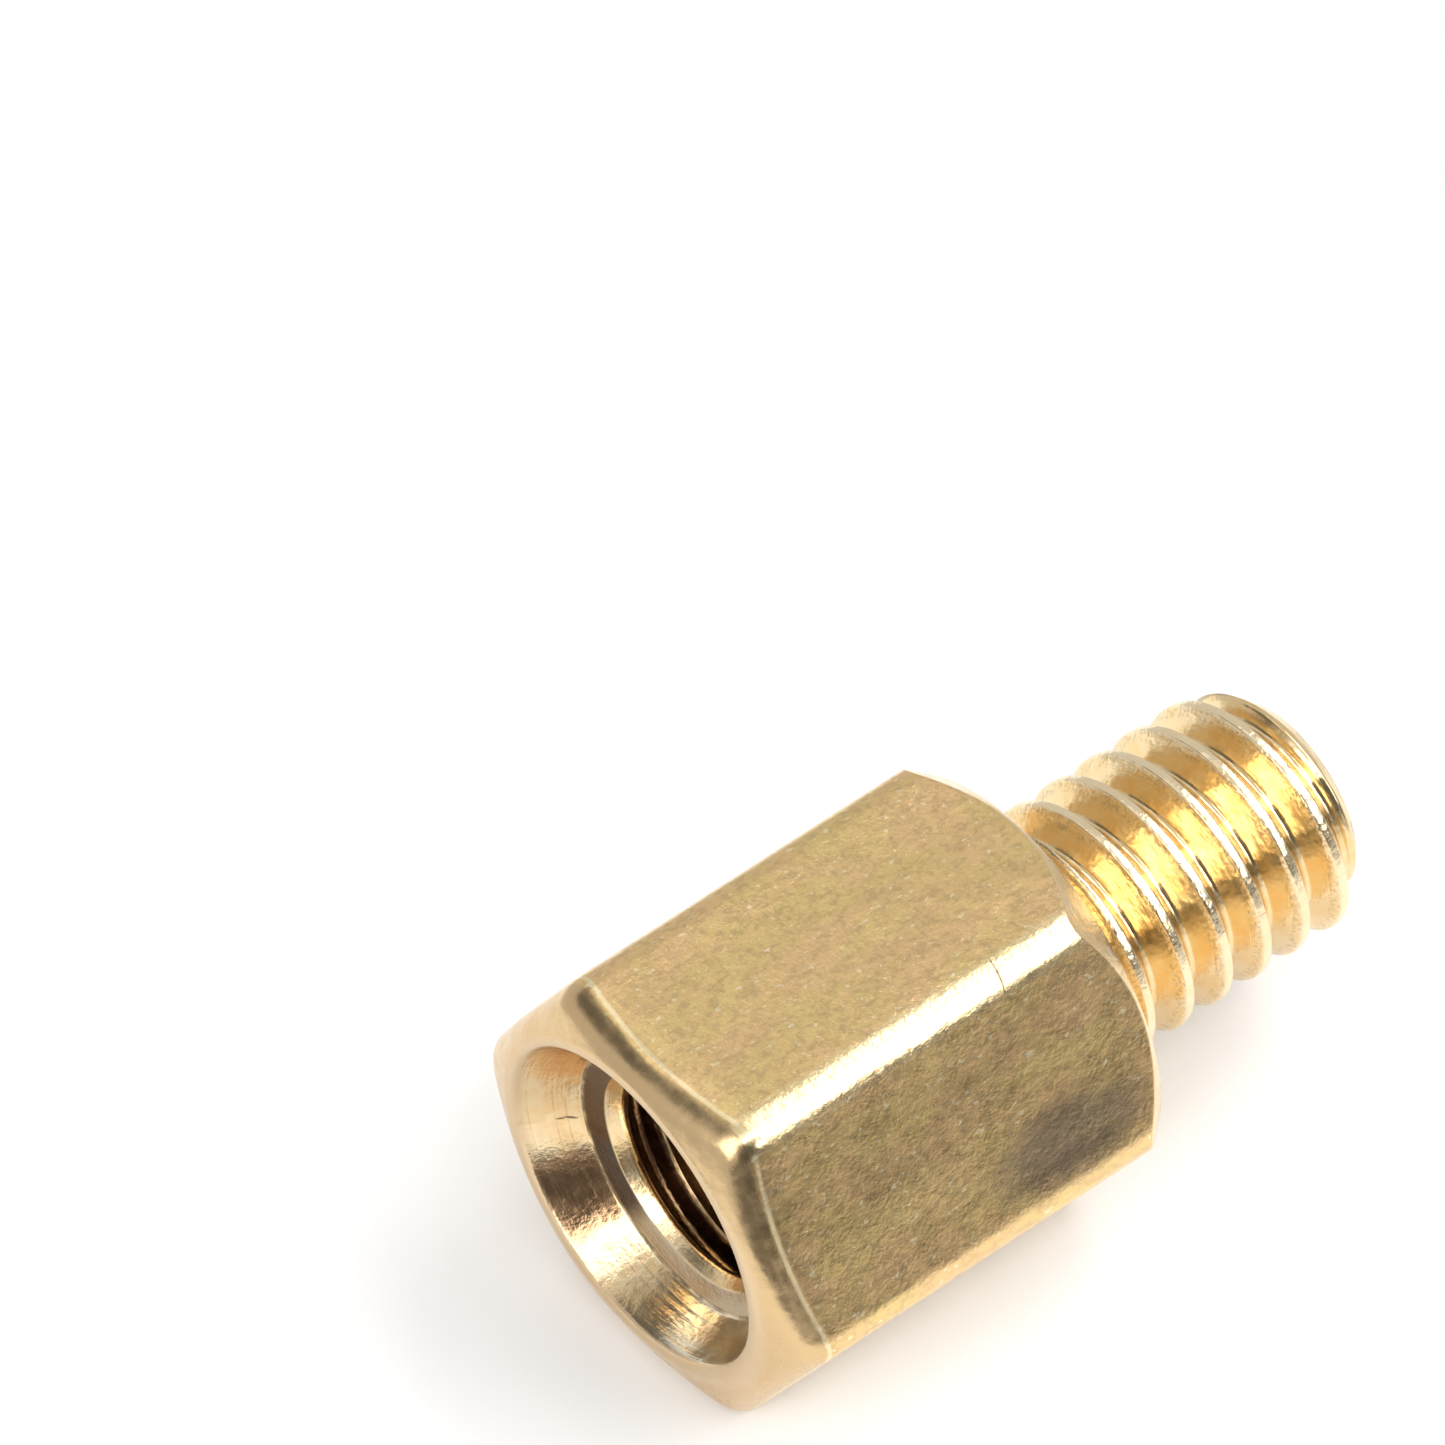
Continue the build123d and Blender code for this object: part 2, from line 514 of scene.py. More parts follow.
def outer_corners(bar, mouth):
    """One column's path from the hole's entry, by the recess and the bar, to the neck's end."""
    end_face = mouth + RIM_WIDTH
    end_bevel = (bar - end_face) * math.tan(END_BEVEL_ANGLE)
    shoulder_bevel = (bar - SHOULDER_RADIUS) * math.tan(SHOULDER_BEVEL_ANGLE)
    face_share = END_FACE_ROUNDING * math.tan(END_BEVEL_ANGLE / 2)
    bevel_room = (bar - end_face) / math.cos(END_BEVEL_ANGLE) - face_share
    most = END_EDGE_SHARE * bevel_room * math.tan((math.pi / 2 + END_BEVEL_ANGLE) / 2)
    taper = RECESS_FLOOR_RADIUS - mouth
    wall = [(t, mouth + taper * t / RECESS_DEPTH + rise, 0, 0) for t, rise in RECESS_RINGS]
    return [
        (ENTRY_END, ENTRY_CREST_RADIUS, 0, 0),
        (ENTRY_START, ENTRY_RADIUS, ENTRY_ROUNDING, 5),
        (RECESS_DEPTH, RECESS_FLOOR_RADIUS, RECESS_FLOOR_ROUNDING, 5),
        *wall,
        (0, mouth, LIP_ROUNDING, 7),
        (0, end_face, END_FACE_ROUNDING, 3),
        (end_bevel, bar, min(END_EDGE_ROUNDING, most), 8),
        (BODY_LENGTH - shoulder_bevel, bar, SHOULDER_BEVEL_ROUNDING, 4),
        (BODY_LENGTH, SHOULDER_RADIUS, SHOULDER_EDGE_ROUNDING, 3),
        (BODY_LENGTH, NECK_RADIUS, NECK_ROUNDING, 7),
        (NECK_END, NECK_RADIUS, 0, 0),
    ]


def add_outside(mesh):
    """Recess, lip, bevels, flats, shoulder and neck. Gives the first ring and the last."""
    mouths = shifted_circle(mesh.theta, MOUTH_RADIUS, MOUTH_SHIFT)
    columns = [outer_corners(bar, mouth) for bar, mouth in zip(bar_radius(mesh.theta), mouths)]
    paths = np.array([path_points(corners, OUTER_SPANS) for corners in columns])
    starts = corner_starts(columns[0], OUTER_SPANS)
    drawn_start = starts[END_EDGE] + END_EDGE_TURNED
    drawn_end = starts[SHOULDER_BEVEL] + SHOULDER_BEVEL_DRAWN
    neck_start = starts[NECK_FOOT] - 1
    kinds = [TURNED] * (paths.shape[1] - 1)
    kinds[drawn_start:drawn_end] = [DRAWN] * (drawn_end - drawn_start)
    kinds[neck_start:] = [THREADED] * (len(kinds) - neck_start)
    rings = [mesh.ring(paths[:, i, 0], paths[:, i, 1]) for i in range(paths.shape[1])]
    mesh.bands(rings, kinds)
    return rings[0], rings[-1]


def add_hole_thread(mesh, entry, deep):
    """The hole's thread, which tapers in from the entry and fades out at both its ends."""
    profile = thread_profile(HOLE_RADIUS, HOLE_ROOT_RADIUS, HOLE_CREST_FLAT, 2)
    fade_in, fade_out = HOLE_THREAD_FADES

    def radius_at(t, r, angle):
        taper = max(0.0, 1 - (t - ENTRY_END) / HOLE_THREAD_TAPER)
        crest = HOLE_RADIUS + (ENTRY_CREST_RADIUS - HOLE_RADIUS) * taper
        fade = min(1.0, (t - ENTRY_END) / fade_in, (HOLE_THREAD_END - t) / fade_out)
        return crest + (r - HOLE_RADIUS) * max(0.0, fade)

    mesh.thread(entry, deep, ENTRY_END, HOLE_THREAD_END, profile, radius_at, False, BORED)


def add_stud_thread(mesh, neck, tip):
    """The stud's thread, cut back to a cone at the neck and the tip, with burrs on its crests."""
    profile = thread_profile(STUD_RADIUS, STUD_ROOT_RADIUS, STUD_CREST_FLAT, 3)
    random = np.random.default_rng(SEED)
    waves = list(zip(
        random.integers(*BURR_TURNS, BURR_WAVES),
        random.uniform(*BURR_SLOPES, BURR_WAVES),
        random.uniform(*BURR_STARTS, BURR_WAVES),
    ))

    def radius_at(t, r, angle):
        if r > STUD_RADIUS - BURR_REACH:
            swell = sum(math.sin(turns * angle + slope * t + at) for turns, slope, at in waves)
            r -= BURR_DEPTH * (0.5 + 0.5 * swell / BURR_WAVES)
        neck_cone = NECK_RADIUS + NECK_BEVEL_SLOPE * (t - NECK_END)
        tip_cone = TIP_RADIUS + (OVERALL - t)
        return min(r, neck_cone, tip_cone)

    mesh.thread(neck, tip, NECK_END, OVERALL, profile, radius_at, True, THREADED)


def add_tip(mesh, tip):
    """The flat end of the stud, with its dish and pip."""
    corners = [
        (OVERALL, TIP_RADIUS, 0, 0),
        (OVERALL, TIP_DISH_RADIUS, TIP_DISH_ROUNDING, 2),
        (OVERALL - TIP_DISH_DEPTH, TIP_PIP_RADIUS, TIP_DISH_ROUNDING, 2),
        (OVERALL, NEAR_AXIS, 0, 0),
    ]
    path = path_points(corners, TIP_SPANS)
    rings = [tip] + [mesh.ring(t, r) for t, r in path[1:-1]] + [mesh.point(OVERALL)]
    mesh.bands(rings, [TURNED] * (len(rings) - 1))


def build_standoff():
    """The whole standoff, as one closed mesh."""
    mesh = Mesh(column_angles())
    deep = add_drill_point(mesh)
    entry, neck = add_outside(mesh)
    add_hole_thread(mesh, entry, deep)
    tip = mesh.ring(OVERALL, TIP_RADIUS)
    add_stud_thread(mesh, neck, tip)
    add_tip(mesh, tip)
    return mesh.finish("standoff_body")


def add_node(tree, kind, inputs=None, **settings):
    """A new node, with its inputs set to values or linked to other nodes' outputs."""
    node = tree.nodes.new(kind)
    for name, value in settings.items():
        setattr(node, name, value)
    for key, value in (inputs or {}).items():
        socket = node.inputs[key]
        if isinstance(value, bpy.types.NodeSocket):
            tree.links.new(value, socket)
        else:
            socket.default_value = value
    return node


def math_node(tree, operation, *values):
    return add_node(tree, "ShaderNodeMath", dict(enumerate(values)), operation=operation).outputs[0]


def vector_node(tree, operation, inputs):
    return add_node(tree, "ShaderNodeVectorMath", inputs, operation=operation).outputs


def ramp(tree, value, low, high, to_low=0.0, to_high=1.0):
    """Maps a range of a value smoothly onto another range."""
    inputs = {
        "Value": value, "From Min": low, "From Max": high, "To Min": to_low, "To Max": to_high,
    }
    node = add_node(tree, "ShaderNodeMapRange", inputs, interpolation_type="SMOOTHSTEP")
    return node.outputs["Result"]


def blend(tree, share, one, other):
    """Mixes two colours. Each is a colour or another node's output."""
    inputs = {"Factor": share}
    node = add_node(tree, "ShaderNodeMix", inputs, data_type="RGBA", clamp_factor=True)
    for socket, colour in zip(node.inputs[6:8], (one, other)):
        if isinstance(colour, bpy.types.NodeSocket):
            tree.links.new(colour, socket)
        else:
            socket.default_value = (*colour, 1)
    return node.outputs[2]


def noise(tree, place, per_mm, detail, roughness=0.6):
    """Noise from 0 to 1, with detail as its number of finer layers and roughness their strength."""
    inputs = {"Vector": place, "Scale": per_mm, "Detail": detail, "Roughness": roughness}
    return add_node(tree, "ShaderNodeTexNoise", inputs).outputs["Fac"]


def drawn_out(tree, place, share):
    """A place for textures that are drawn out along the bar, more where share is smaller."""
    return vector_node(tree, "MULTIPLY", {0: place, 1: (share, 1, 1)})[0]


def either(tree, *shares):
    total = shares[0]
    for share in shares[1:]:
        total = math_node(tree, "MAXIMUM", total, share)
    return total


def product(tree, *shares):
    total = shares[0]
    for share in shares[1:]:
        total = math_node(tree, "MULTIPLY", total, share)
    return total


def between(tree, value, limits, edge):
    """1 where a value lies between two limits, fading out over edge beyond them."""
    low, high = limits
    return product(tree, ramp(tree, value, low - edge, low), ramp(tree, value, high + edge, high))


def from_end(zone):
    """A zone of distances from the hole's end face, as values of X."""
    return START_X + zone[0], START_X + zone[1]


def mark(tree, u, v, start, end, width):
    """1 on a short straight mark between two places (u, v), and 0 away from it."""
    (u0, v0), (u1, v1) = start, end
    length = math.hypot(u1 - u0, v1 - v0)
    along = ((u1 - u0) / length, (v1 - v0) / length)
    across = (-(v1 - v0) / length, (u1 - u0) / length)
    middle = ((u0 + u1) / 2, (v0 + v1) / 2)

    def distance(axis, spread):
        offset = -(middle[0] * axis[0] + middle[1] * axis[1])
        first = math_node(tree, "MULTIPLY_ADD", u, axis[0] / spread, offset / spread)
        total = math_node(tree, "MULTIPLY_ADD", v, axis[1] / spread, first)
        return math_node(tree, "MULTIPLY", total, total)

    squared = math_node(tree, "ADD", distance(along, length / 2), distance(across, width / 2))
    return ramp(tree, squared, 1.6, 0.3)


def patch(tree, u, v, middle, half_size):
    """1 in the middle of a soft-edged ellipse, and 0 outside it."""
    across = math_node(tree, "MULTIPLY_ADD", u, 1 / half_size[0], -middle[0] / half_size[0])
    up = math_node(tree, "MULTIPLY_ADD", v, 1 / half_size[1], -middle[1] / half_size[1])
    squared = math_node(tree, "MULTIPLY_ADD", up, up, math_node(tree, "MULTIPLY", across, across))
    return ramp(tree, squared, 1.0, 0.1)


def part_places(tree):
    """Places on the part in millimetres: as they are, and as (x, distance from the axis, angle)."""
    object_place = add_node(tree, "ShaderNodeTexCoord").outputs["Object"]
    place = vector_node(tree, "SCALE", {0: object_place, "Scale": 1 / MM})[0]
    split = add_node(tree, "ShaderNodeSeparateXYZ", {0: place})
    up = math_node(tree, "SUBTRACT", split.outputs[2], AXIS_HEIGHT)
    y_squared = math_node(tree, "MULTIPLY", split.outputs[1], split.outputs[1])
    radius = math_node(tree, "SQRT", math_node(tree, "MULTIPLY_ADD", up, up, y_squared))
    angle = math_node(tree, "ARCTAN2", up, split.outputs[1])
    return place, split.outputs[0], radius, angle


def ring_place(tree, x, radius, angle, turn):
    """A place for textures that run round the axis, drawn out more where turn is smaller."""
    inputs = {0: x, 1: radius, 2: math_node(tree, "MULTIPLY", angle, turn)}
    return add_node(tree, "ShaderNodeCombineXYZ", inputs).outputs[0]


def brass(name, colour, roughness, height):
    """Brass with a colour, a roughness and a height, each worked out by nodes."""
    material = bpy.data.materials.new(name)
    material.use_nodes = True
    tree = material.node_tree
    places = part_places(tree)
    shader = tree.nodes["Principled BSDF"]
    shader.inputs["Metallic"].default_value = 1
    tree.links.new(colour(tree, *places), shader.inputs["Base Color"])
    tree.links.new(roughness(tree, *places), shader.inputs["Roughness"])
    relief = {"Height": height(tree, *places), "Distance": SURFACE_DEPTH * MM, "Strength": 1.0}
    bump = add_node(tree, "ShaderNodeBump", relief)
    tree.links.new(bump.outputs[0], shader.inputs["Normal"])
    return material


def painted_rim_highlight(tree, place, x, radius):
    """1 on the painted highlight, a pale line where the end bevel meets the drawn bar, and 0
    elsewhere.
    """
    out = math_node(tree, "SUBTRACT", radius, APOTHEM)
    along = math_node(tree, "MULTIPLY_ADD", out, RIM_LINE_LEAN, x)
    along = math_node(tree, "MULTIPLY_ADD", noise(tree, place, 7, 3), RIM_LINE_WANDER, along)
    line = between(tree, along, from_end(RIM_LINE_ZONE), 0.015)
    return product(tree, line, ramp(tree, radius, *RIM_LINE_RADII), RIM_HIGHLIGHT_STRENGTH)


def end_bevel(tree, x, radius):
    """1 on the tumbled bevel outside the lip, and 0 elsewhere. The bevel's colour there is a
    painted shade.
    """
    near_end = ramp(tree, x, *from_end(END_BEVEL_ZONE)[::-1])
    return product(tree, ramp(tree, radius, *END_BEVEL_RADII), near_end)


def painted_edge_highlight(tree, place, radius, angle):
    """More than 0 on the edge of the bar between the top flat and the front one, where a paler
    colour paints a highlight.
    """
    ragged = math_node(tree, "MULTIPLY_ADD", noise(tree, place, 8, 3), EDGE_HIGHLIGHT_WANDER, radius)
    rounded = ramp(tree, ragged, *EDGE_HIGHLIGHT_RADII, 0, EDGE_HIGHLIGHT_STRENGTH)
    return product(tree, rounded, between(tree, angle, EDGE_HIGHLIGHT_ANGLES, 0.05))


def stain(tree, place, x):
    """More than 0 on the stain low on the front flat, which has ragged edges."""
    split = add_node(tree, "ShaderNodeSeparateXYZ", {0: place})
    front = ramp(tree, split.outputs[1], *STAIN_FRONT_Y)
    ragged = noise(tree, drawn_out(tree, place, 0.5), 4, 4, 0.65)
    ragged = ramp(tree, ragged, 0.3, 0.5, 0.6, 1.0)
    spot = patch(tree, x, split.outputs[2], STAIN_MIDDLE, STAIN_HALF_SIZE)
    return product(tree, front, ragged, spot, STAIN_STRENGTH)


def drawn_colour(tree, place, x, radius, angle):
    """Patches of greener and redder brass with fine flecks, a stain and a crack, with painted
    glints, painted highlights on one edge and the bevel's rim, and painted shade on the underside.
    """
    wide = ramp(tree, noise(tree, drawn_out(tree, place, 0.6), 2.4, 4, 0.6), 0.38, 0.62)
    fine = noise(tree, drawn_out(tree, place, 0.7), 17, 3, 0.65)
    middling = noise(tree, drawn_out(tree, place, 0.7), 7, 4, 0.7)
    flecks = ramp(tree, math_node(tree, "ADD", fine, middling), 0.9, 1.22, 0, 0.55)
    # Painted glints: pale specks on the flats in place of small highlights
    glints = noise(tree, drawn_out(tree, place, 0.8), 13, 2, 0.5)
    # Painted highlights on the bar's edge and the bevel's rim
    edge = either(tree, painted_edge_highlight(tree, place, radius, angle), painted_rim_highlight(tree, place, x, radius))
    round_bar = math_node(tree, "MULTIPLY", angle, CRACK_RADIUS)
    crack = mark(tree, x, round_bar, *CRACK)
    # Painted shade on the flat that faces down
    underside = between(tree, angle, UNDERSIDE_ANGLES, 0.1)
    colour = blend(tree, flecks, blend(tree, wide, DRAWN_GREEN, DRAWN_RED), DRAWN_DULL)
    colour = blend(tree, ramp(tree, glints, 0.63, 0.71, 0, 0.7), colour, PAINTED_HIGHLIGHT_PALE)
    colour = blend(tree, product(tree, underside, UNDERSIDE_SHADE_STRENGTH), colour, DRAWN_DULL)
    colour = blend(tree, stain(tree, place, x), colour, DRAWN_STAIN)
    colour = blend(tree, edge, colour, PAINTED_HIGHLIGHT_PALE)
    return blend(tree, product(tree, crack, CRACK_STRENGTH), colour, DARK_MARKS_AND_CORNER_SHADE)


def drawn_roughness(tree, place, x, radius, angle):
    return ramp(tree, noise(tree, place, 5, 3), 0.3, 0.7, *DRAWN_ROUGHNESS)


def drawn_height(tree, place, x, radius, angle):
    """Long waves, lumps that are higher near the bar's edges, and grain, fainter near the hole."""
    waves = noise(tree, drawn_out(tree, place, 0.35), 1.3, 1)
    lumps = noise(tree, drawn_out(tree, place, 0.9), 9, 5, 0.62)
    grain = noise(tree, place, 26, 2, 0.5)
    knocks = ramp(tree, radius, *KNOCKED_EDGE_RADII, 1.3, 1.9)
    total = math_node(tree, "MULTIPLY_ADD", waves, 5.0, product(tree, lumps, knocks))
    total = math_node(tree, "MULTIPLY_ADD", grain, 0.5, total)
    return product(tree, total, ramp(tree, x, *from_end(CALM_END_ZONE), 0.2, 1.0))


def recess_wall_colour(tree, place, x, radius, angle, colour):
    """Painted light and shade on the recess wall over another colour: painted light low in front,
    painted shade low at the back and in its grooves.
    """
    in_recess = ramp(tree, radius, *WALL_RADII[::-1])
    along = between(tree, x, from_end(LOW_WALL_ZONE), 0.03)
    # Painted light low on the front of the wall
    lit_low_wall = product(tree, between(tree, angle, LOW_WALL_ANGLES, 0.2), along, in_recess)
    colour = blend(tree, lit_low_wall, colour, RECESS_PAINTED_LIGHT)
    wall = product(tree, between(tree, x, from_end(WALL_ZONE), 0.02), in_recess)
    # Painted shade low at the back of the wall
    shaded = product(tree, wall, between(tree, angle, SHADED_WALL_ANGLES, 0.1))
    colour = blend(tree, product(tree, shaded, SHADED_WALL_STRENGTH), colour, RECESS_PAINTED_SHADE)
    # Painted shade in the wall's grooves, patchy along them
    clear_grooves = [between(tree, x, from_end(groove), 0.006) for groove in GROOVES]
    faint_groove = between(tree, x, from_end(FAINT_GROOVE), 0.006)
    faint_groove = product(tree, faint_groove, FAINT_GROOVE_STRENGTH)
    patchy = ramp(tree, noise(tree, place, 3.5, 3), 0.4, 0.6, 0.15, 0.6)
    grooves = product(tree, wall, either(tree, *clear_grooves, faint_groove), patchy)
    return blend(tree, grooves, colour, RECESS_PAINTED_SHADE)


def recess_floor_colour(tree, x, radius, angle, colour):
    """Painted shade on the recess floor over another colour: dark at the top, paler towards the
    bottom.
    """
    along = between(tree, x, from_end(RECESS_FLOOR_ZONE), 0.01)
    floor = product(tree, along, between(tree, radius, RECESS_FLOOR_RADII, 0.02))
    middle = ramp(tree, angle, *RECESS_FLOOR_MID_ANGLES)
    tone = blend(tree, middle, RECESS_FLOOR_TOP, RECESS_FLOOR_MID)
    tone = blend(tree, ramp(tree, angle, *RECESS_FLOOR_LOW_ANGLES), tone, RECESS_FLOOR_LOW)
    return blend(tree, floor, colour, tone)


def recess_chips_and_corner_shade(tree, place, x, radius, angle):
    """More than 0 in the painted shade of the corner between the recess's wall and floor, and on
    its chips.
    """
    # Painted shade along the corner between wall and floor
    corner = between(tree, x, from_end(RECESS_CORNER_ZONE), 0.006)
    corner = product(tree, corner, ramp(tree, radius, *RECESS_CORNER_RADII))
    corner = product(tree, corner, ramp(tree, noise(tree, place, 4, 2), 0.35, 0.6, 0.1, 0.8))
    chips = []
    for (start, start_angle), (end, end_angle), width in WALL_CHIPS:
        places = (START_X + start, start_angle), (START_X + end, end_angle)
        chips.append(mark(tree, x, angle, *places, width))
    in_hole = ramp(tree, x, START_X + FLOOR_CHIP_START, START_X + FLOOR_CHIP_START + 0.02)
    chips.append(product(tree, mark(tree, radius, angle, *FLOOR_CHIP), in_hole))
    return either(tree, corner, product(tree, either(tree, *chips), CHIP_STRENGTH))


def turned_colour(tree, place, x, radius, angle):
    """Turned brass in rings, with painted shade on the lip and the end bevel, a painted highlight
    on the bevel's rim, and painted light and shade and chips in the recess.
    """
    rings = noise(tree, ring_place(tree, x, radius, angle, 0.25), 5, 4, 0.65)
    tint = ramp(tree, math_node(tree, "ADD", rings, noise(tree, place, 3.5, 4)), 0.85, 1.15)
    dull = noise(tree, ring_place(tree, x, radius, angle, 0.5), 9, 4, 0.7)
    # Painted shade on the lip and the end bevel, and a painted highlight on the bevel's rim
    lip = ramp(tree, x, *from_end(LIP_ZONE)[::-1], 0, LIP_SHADE_STRENGTH)
    bevel = product(tree, end_bevel(tree, x, radius), END_BEVEL_SHADE_STRENGTH)
    colour = blend(tree, tint, TURNED_PALE, TURNED_WARM)
    colour = blend(tree, ramp(tree, dull, 0.55, 0.75, 0, 0.6), colour, TURNED_DULL)
    colour = blend(tree, lip, colour, LIP_PAINTED_SHADE)
    colour = blend(tree, bevel, colour, BEVEL_PAINTED_SHADE)
    colour = blend(tree, painted_rim_highlight(tree, place, x, radius), colour, PAINTED_HIGHLIGHT_PALE)
    colour = recess_wall_colour(tree, place, x, radius, angle, colour)
    colour = recess_floor_colour(tree, x, radius, angle, colour)
    return blend(tree, recess_chips_and_corner_shade(tree, place, x, radius, angle), colour, DARK_MARKS_AND_CORNER_SHADE)


def turned_roughness(tree, place, x, radius, angle):
    worked = ramp(tree, noise(tree, place, 6, 3), 0.3, 0.7, *TURNED_ROUGHNESS)
    bevel = end_bevel(tree, x, radius)
    return math_node(tree, "MULTIPLY_ADD", bevel, END_BEVEL_ADDED_ROUGHNESS, worked)


def turned_height(tree, place, x, radius, angle):
    """Waves, with fine turning rings and grain that are fainter on the tumbled bevel."""
    rings = noise(tree, ring_place(tree, x, radius, angle, 0.05), 16, 4, 0.7)
    waves = noise(tree, place, 2.5, 2)
    grain = noise(tree, place, 14, 3)
    fine = math_node(tree, "MULTIPLY_ADD", rings, 0.9, math_node(tree, "MULTIPLY", grain, 1.2))
    calm = ramp(tree, end_bevel(tree, x, radius), 0, 1, 1.0, 0.35)
    return math_node(tree, "MULTIPLY_ADD", waves, 3.0, product(tree, fine, calm))


def threaded_colour(tree, place, x, radius, angle):
    """Cut brass, warmer in the neck, with paler crests that paint a highlight and grey specks
    beside them.
    """
    tint = ramp(tree, noise(tree, place, 4, 4), 0.35, 0.65)
    neck = ramp(tree, x, *from_end(WARM_NECK_ZONE)[::-1])
    bare = blend(tree, either(tree, tint, neck), THREAD_PALE, THREAD_WARM)
    # Paler crests, a painted highlight
    crest = product(tree, ramp(tree, radius, *CREST_RADII), CREST_STRENGTH)
    bare = blend(tree, crest, bare, THREAD_CREST_HIGHLIGHT)
    beside = between(tree, radius, CREST_SIDE_RADII, 0.02)
    specks = ramp(tree, noise(tree, place, 24, 2, 0.6), 0.5, 0.6)
    return blend(tree, product(tree, beside, specks, SPECK_STRENGTH), bare, THREAD_GREY)


def threaded_roughness(tree, place, x, radius, angle):
    return ramp(tree, noise(tree, place, 6, 3), 0.3, 0.7, *THREADED_ROUGHNESS)


def threaded_height(tree, place, x, radius, angle):
    """Waves and fine lines round the thread, with burrs on its crests."""
    crest = ramp(tree, radius, *BURRED_RADII)
    burrs = product(tree, crest, noise(tree, place, 20, 2, 0.6), 1.1)
    lines = noise(tree, ring_place(tree, x, radius, angle, 0.12), 20, 3, 0.6)
    waves = noise(tree, place, 5, 2)
    total = math_node(tree, "MULTIPLY_ADD", waves, 2.2, lines)
    return math_node(tree, "ADD", total, burrs)


def bored_colour(tree, place, x, radius, angle):
    """Brass that darkens with depth and in the thread's grooves."""
    deep = ramp(tree, x, *from_end(DEEP_HOLE_ZONE), 0.5, 1.0)
    groove = ramp(tree, radius, *HOLE_GROOVE_RADII, 0.55, 1.0)
    return blend(tree, product(tree, deep, groove), TURNED_WARM, HOLE_DARK)


def make_camera():
    """The photograph's camera. The middle of the hole's end shows where it does in the photo."""
    ahead = Vector((-math.sin(VIEW_AZIMUTH), math.cos(VIEW_AZIMUTH), 0))
    right = Vector((math.cos(VIEW_AZIMUTH), math.sin(VIEW_AZIMUTH), 0))
    forward = ahead * math.cos(VIEW_ELEVATION) - Vector((0, 0, math.sin(VIEW_ELEVATION)))
    up = right.cross(forward)
    hole_end = Vector((START_X, 0, AXIS_HEIGHT)) * MM
    focal_px = ACROSS_FLATS_PX * VIEW_DISTANCE / (ACROSS_FLATS * MM)
    across = (HOLE_END_PX[0] - PHOTO_SIZE / 2) * VIEW_DISTANCE / focal_px
    down = (HOLE_END_PX[1] - PHOTO_SIZE / 2) * VIEW_DISTANCE / focal_px
    data = bpy.data.cameras.new("camera")
    data.sensor_width = SENSOR_MM
    data.lens = focal_px / PHOTO_SIZE * SENSOR_MM
    data.clip_start = VIEW_DISTANCE / 100
    data.clip_end = VIEW_DISTANCE * 100
    camera = make_object("camera", data)
    camera.matrix_world = Matrix((right, up, -forward)).transposed().to_4x4()
    camera.location = hole_end - right * across + up * down - forward * VIEW_DISTANCE
    bpy.context.scene.camera = camera


def aim_at(azimuth, elevation):
    """The unit vector towards a compass direction in degrees: azimuth 0 is +Y and 90 is +X."""
    a, e = math.radians(azimuth), math.radians(elevation)
    return Vector((math.sin(a) * math.cos(e), math.cos(a) * math.cos(e), math.sin(e)))


def make_floor():
    """A round white sheet. The camera and reflections see it a little lighter than it is lit."""
    places = [aim_at(360 * side / FLOOR_SIDES, 0) * -FLOOR_RADIUS for side in range(FLOOR_SIDES)]
    mesh = bpy.data.meshes.new("floor")
    mesh.from_pydata(places, [], [list(range(FLOOR_SIDES))[::-1]])
    material = bpy.data.materials.new("floor_white")
    material.use_nodes = True
    tree = material.node_tree
    shader = tree.nodes["Principled BSDF"]
    shader.inputs["Base Color"].default_value = (FLOOR_COLOUR, FLOOR_COLOUR, FLOOR_COLOUR, 1)
    shader.inputs["Roughness"].default_value = FLOOR_ROUGHNESS
    shader.inputs["Emission Color"].default_value = (1, 1, 1, 1)
    rays = add_node(tree, "ShaderNodeLightPath").outputs
    seen = either(tree, rays["Is Camera Ray"], rays["Is Glossy Ray"], rays["Is Transmission Ray"])
    tree.links.new(product(tree, seen, FLOOR_LIFT), shader.inputs["Emission Strength"])
    mesh.materials.append(material)
    make_object("floor", mesh)


def make_lamp(name, azimuth, elevation, wide, high, lean, radiance):
    """A soft box that faces the standoff. Its energy gives it the same radiance at any size."""
    width = 2 * LAMP_DISTANCE * math.tan(math.radians(wide) / 2)
    height = 2 * LAMP_DISTANCE * math.tan(math.radians(high) / 2)
    data = bpy.data.lights.new(name, "AREA")
    data.shape = "RECTANGLE"
    data.size = width
    data.size_y = height
    data.energy = radiance * math.pi * width * height
    direction = aim_at(azimuth, elevation)
    leaning = Matrix.Rotation(math.radians(lean), 3, "Z")
    turn = direction.to_track_quat("Z", "Y").to_matrix() @ leaning
    lamp = make_object(name, data)
    lamp.matrix_world = Matrix.Translation(direction * LAMP_DISTANCE) @ turn.to_4x4()


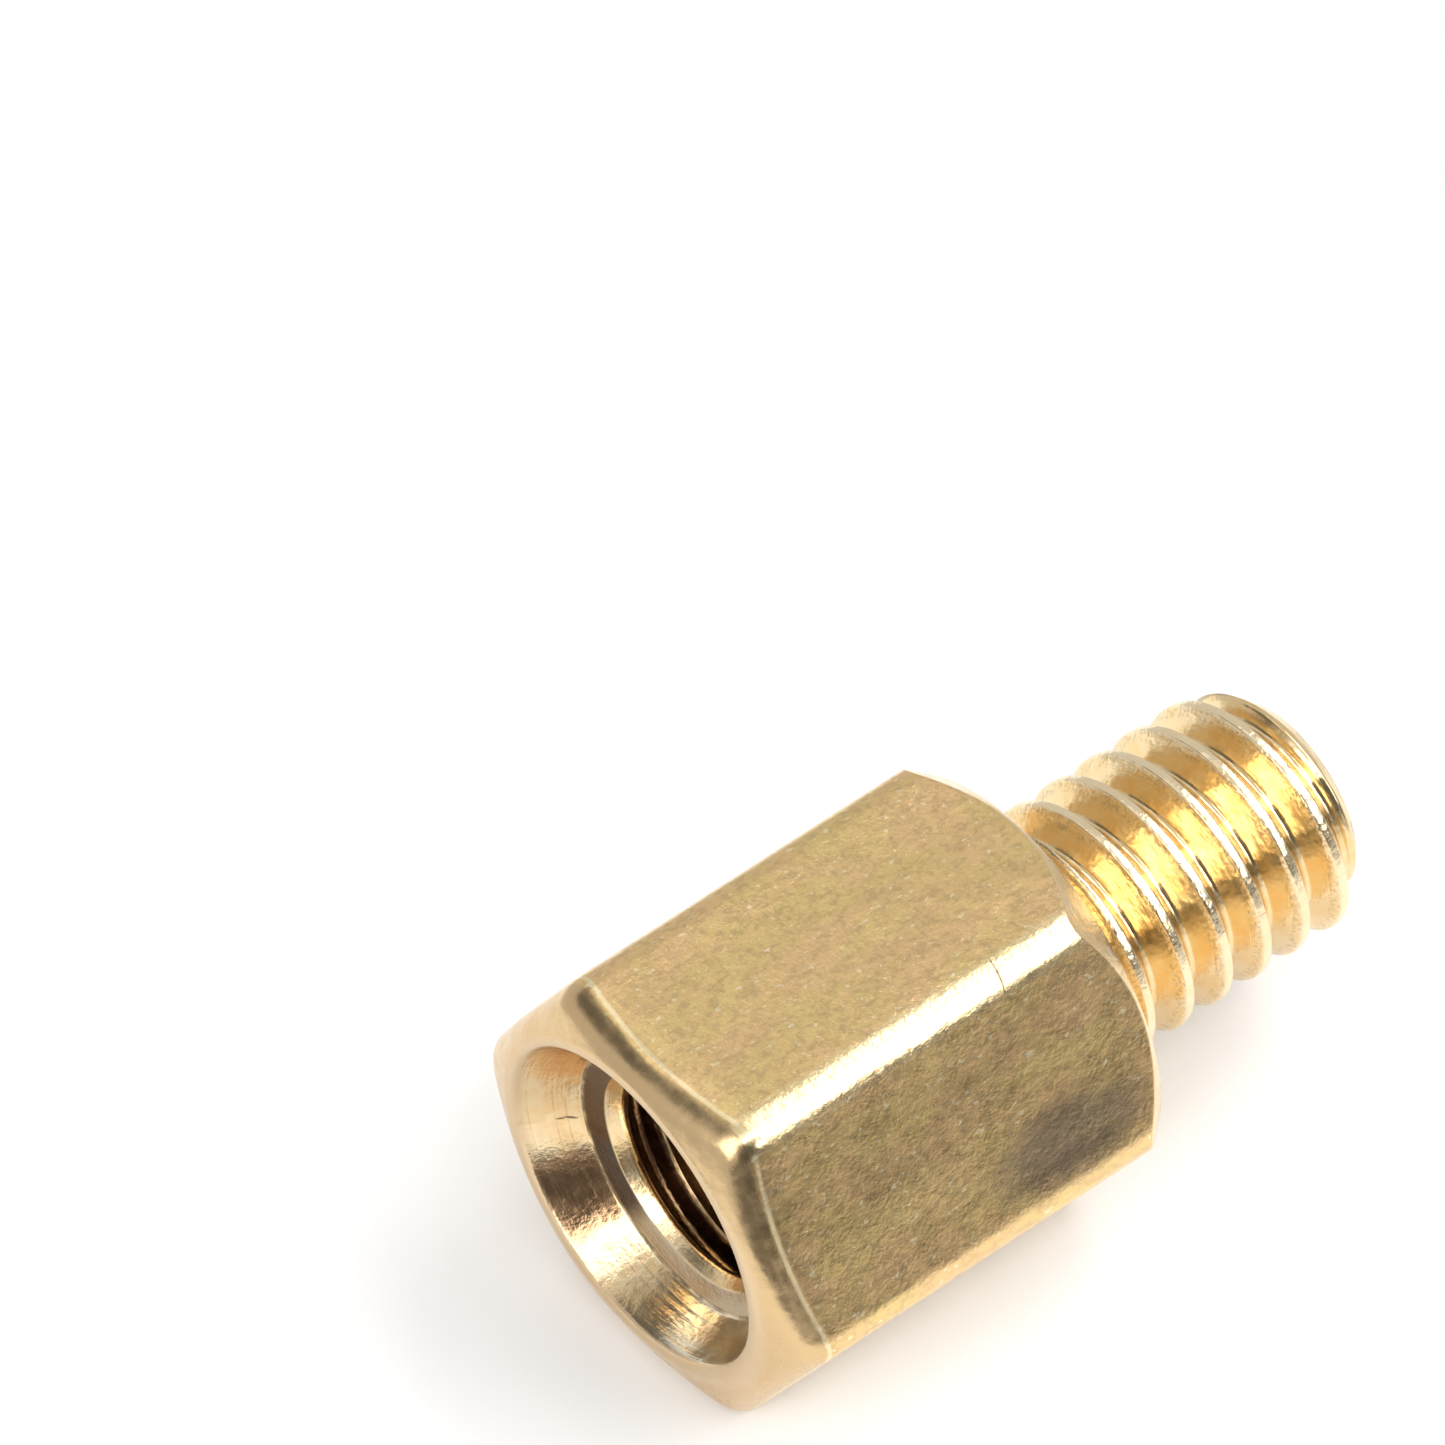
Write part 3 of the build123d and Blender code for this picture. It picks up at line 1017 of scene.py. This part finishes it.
def tent_material():
    """The tent's light, whose tone changes with the direction from the middle of the scene."""
    material = bpy.data.materials.new("tent_cloth")
    material.use_nodes = True
    tree = material.node_tree
    tree.nodes.clear()
    place = add_node(tree, "ShaderNodeTexCoord").outputs["Object"]
    direction = vector_node(tree, "NORMALIZE", {0: place})[0]
    height = add_node(tree, "ShaderNodeSeparateXYZ", {0: direction}).outputs[2]

    def towards(azimuth, elevation, inner, outer):
        target = {0: direction, 1: aim_at(azimuth, elevation)}
        facing = vector_node(tree, "DOT_PRODUCT", target)["Value"]
        return ramp(tree, facing, math.cos(math.radians(outer)), math.cos(math.radians(inner)))

    top_inner, top_outer = (math.sin(math.radians(v)) for v in HORIZON_TOP)
    foot_outer, foot_inner = (math.sin(math.radians(v)) for v in HORIZON_FOOT)
    above = ramp(tree, height, top_outer, top_inner)
    below = ramp(tree, height, foot_outer, foot_inner)
    horizon = product(tree, towards(HORIZON_AZIMUTH, 0, *HORIZON_SPREAD), above, below)
    tone = blend(tree, horizon, (TENT_TONE,) * 3, (HORIZON_TONE,) * 3)
    for azimuth, elevation, inner, outer, radiance in TENT_PATCHES:
        tone = blend(tree, towards(azimuth, elevation, inner, outer), tone, (radiance,) * 3)
    emission = add_node(tree, "ShaderNodeEmission", {"Color": tone, "Strength": 1.0})
    output = add_node(tree, "ShaderNodeOutputMaterial")
    tree.links.new(emission.outputs[0], output.inputs[0])
    return material


def make_tent():
    """A light tent round the floor, which only reflections and light rays see."""
    places = []
    for elevation in TENT_ROWS:
        for side in range(TENT_SIDES):
            places.append(aim_at(360 * side / TENT_SIDES, elevation) * TENT_RADIUS)
    faces = []
    for row in range(len(TENT_ROWS) - 1):
        low, high = row * TENT_SIDES, (row + 1) * TENT_SIDES
        for side in range(TENT_SIDES):
            after = (side + 1) % TENT_SIDES
            faces.append([low + side, high + side, high + after, low + after])
    mesh = bpy.data.meshes.new("tent")
    mesh.from_pydata(places, [], faces)
    mesh.materials.append(tent_material())
    tent = make_object("tent", mesh)
    tent.visible_camera = False
    tent.visible_shadow = False


def make_world():
    """Plain white behind everything. The tent hides it from all but the camera."""
    world = bpy.data.worlds.new("world")
    bpy.context.scene.world = world
    world.use_nodes = True
    world.node_tree.nodes["Background"].inputs["Color"].default_value = (1, 1, 1, 1)


# In the order of the kinds of surface
BRASSES = [
    ("brass_turned", turned_colour, turned_roughness, turned_height),
    ("brass_drawn", drawn_colour, drawn_roughness, drawn_height),
    ("brass_threaded", threaded_colour, threaded_roughness, threaded_height),
    ("brass_bored", bored_colour, threaded_roughness, threaded_height),
]

bpy.context.scene.view_settings.view_transform = "Standard"
piece = build_standoff()
for surface in BRASSES:
    piece.data.materials.append(brass(*surface))
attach(piece, "root")
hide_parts("standoff")

make_camera()
make_floor()
make_world()
make_tent()
for lamp in LAMPS:
    make_lamp(*lamp)
